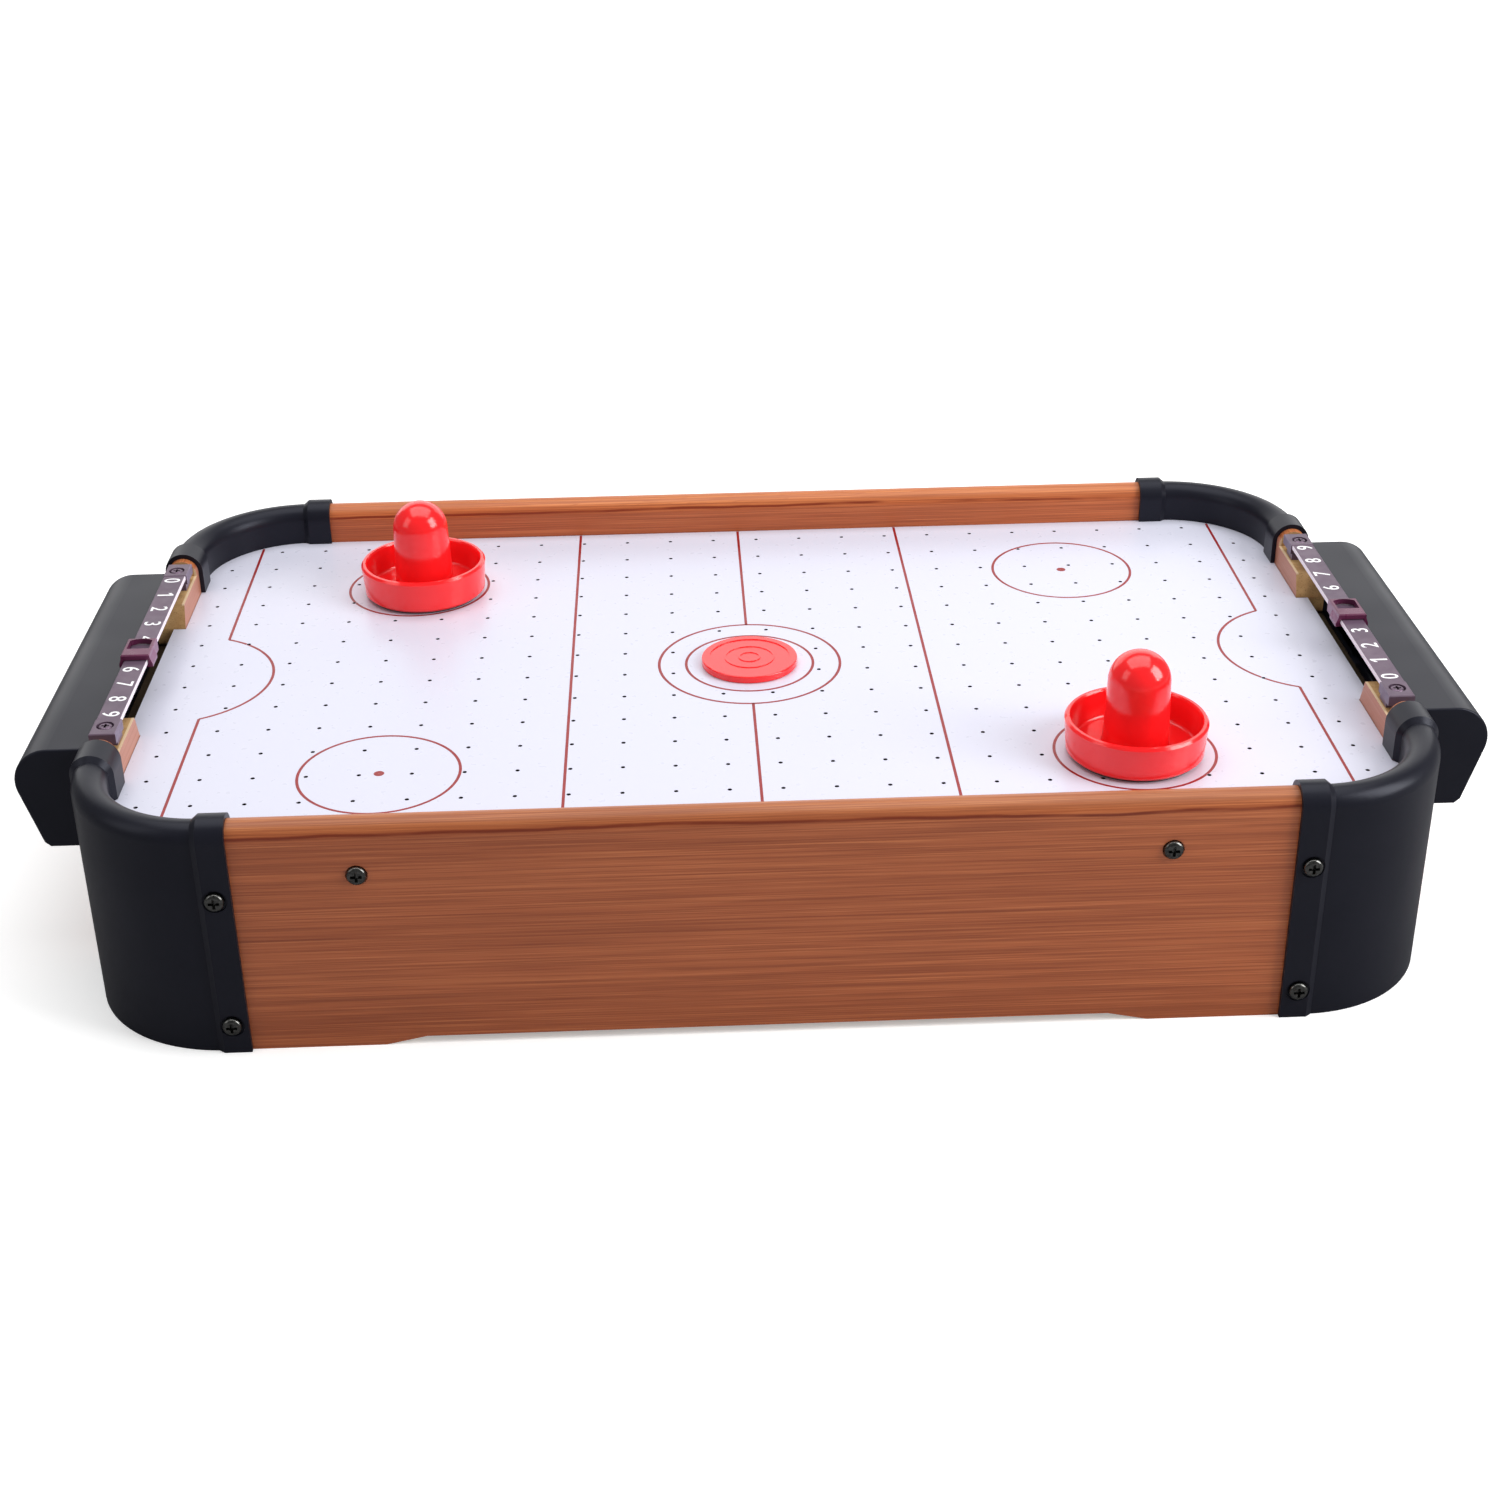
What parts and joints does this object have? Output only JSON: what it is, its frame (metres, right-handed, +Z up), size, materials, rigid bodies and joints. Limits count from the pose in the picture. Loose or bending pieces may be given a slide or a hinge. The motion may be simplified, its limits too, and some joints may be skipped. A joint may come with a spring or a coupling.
{
  "type": "table-top air hockey table",
  "caption": "Table-top air hockey game: wood-look rails, black corner caps and goal boxes, perforated board, mallets, puck, sliding score markers and a battery fan.",
  "frame": {"origin": "centre of the footprint, on the surface the table stands on", "axes": "+X along the length towards the right-hand goal, +Y to the far long side, +Z up"},
  "size_m": [0.5652, 0.3174, 0.1195],
  "materials": {
    "wood_grain_vinyl": "satin vinyl foil with a cherry wood grain over fibreboard",
    "white_laminate": "glossy white laminate with thin red court lines, on fibreboard",
    "black_plastic": "satin moulded plastic",
    "mauve_plastic": "satin, with white numerals",
    "plum_plastic": "satin",
    "red_plastic": "glossy",
    "felt": "pressed felt",
    "dark_steel": "blackened steel",
    "zinc_steel": "zinc plated",
    "mauve_screw": "tinted zinc",
    "raw_fibreboard": "raw",
    "grey_plastic": "moulded, fine texture",
    "fan_plastic": "moulded, natural white",
    "motor_steel": "drawn steel can",
    "cell_sleeve": "printed sleeve, no lettering",
    "switch_plastic": "moulded",
    "red_insulation": "smooth",
    "black_insulation": "smooth",
    "court_print": "thin dark red print on the board",
    "numeral_print": "white print on the score bars"
  },
  "bodies": {
    "table": {"air_chamber_floor": "raw_fibreboard", "air_chamber_screws": "zinc_steel", "air_chamber_strip_back": "raw_fibreboard", "air_chamber_strip_front": "raw_fibreboard", "air_chamber_strip_left": "raw_fibreboard", "air_chamber_strip_right": "raw_fibreboard", "batteries": "cell_sleeve", "battery_box": "grey_plastic", "battery_box_screws": "zinc_steel", "battery_contacts": "zinc_steel", "corner_cap_back_left": "black_plastic", "corner_cap_back_right": "black_plastic", "corner_cap_front_left": "black_plastic", "corner_cap_front_right": "black_plastic", "corner_cap_screws": "dark_steel", "end_panel_left": "wood_grain_vinyl", "end_panel_right": "wood_grain_vinyl", "fan_duct": "grey_plastic", "fan_guard": "grey_plastic", "fan_motor": "motor_steel", "fan_screws": "zinc_steel", "goal_box_left": "black_plastic", "goal_box_right": "black_plastic", "goal_box_screws": "zinc_steel", "panel_screws": "dark_steel", "playing_board": "white_laminate", "score_bar_left": "mauve_plastic", "score_bar_right": "mauve_plastic", "score_bar_screws": "mauve_screw", "side_panel_back": "wood_grain_vinyl", "side_panel_front": "wood_grain_vinyl", "switch_case": "switch_plastic", "wire_black": "black_insulation", "wire_red_battery": "red_insulation", "wire_red_motor": "red_insulation"},
    "mallet_left": {"mallet_left": "red_plastic", "mallet_felt_left": "felt"},
    "mallet_right": {"mallet_right": "red_plastic", "mallet_felt_right": "felt"},
    "puck": {"puck": "red_plastic"},
    "score_slider_left": {"score_slider_left": "plum_plastic"},
    "score_slider_right": {"score_slider_right": "plum_plastic"},
    "fan_rotor": {"fan_impeller": "fan_plastic", "fan_shaft": "zinc_steel"},
    "switch_knob": {"switch_knob": "switch_plastic"},
    "battery_door": {"battery_door": "grey_plastic"}
  },
  "joints": [
    {"name": "mallet_left_glide", "type": "slide", "parent": "table", "child": "mallet_left", "axis": [1, 0, 0], "range_m": [-0.07, 0.112]},
    {"name": "mallet_right_glide", "type": "slide", "parent": "table", "child": "mallet_right", "axis": [1, 0, 0], "range_m": [-0.114, 0.067]},
    {"name": "puck_glide", "type": "slide", "parent": "table", "child": "puck", "axis": [1, 0, 0], "range_m": [-0.226, 0.226]},
    {"name": "score_left_slide", "type": "slide", "parent": "table", "child": "score_slider_left", "axis": [0, 1, 0], "range_m": [-0.051, 0.0675]},
    {"name": "score_right_slide", "type": "slide", "parent": "table", "child": "score_slider_right", "axis": [0, 1, 0], "range_m": [-0.057, 0.0615]},
    {"name": "fan_spin", "type": "hinge", "parent": "table", "child": "fan_rotor", "pos_m": [0.06, 0, 0.046], "axis": [0, 0, 1], "continuous": true},
    {"name": "power_switch", "type": "slide", "parent": "table", "child": "switch_knob", "axis": [0, 1, 0], "range_m": [0, 0.004]},
    {"name": "battery_door_slide", "type": "slide", "parent": "table", "child": "battery_door", "axis": [-1, 0, 0], "range_m": [0, 0.058]}
  ]
}
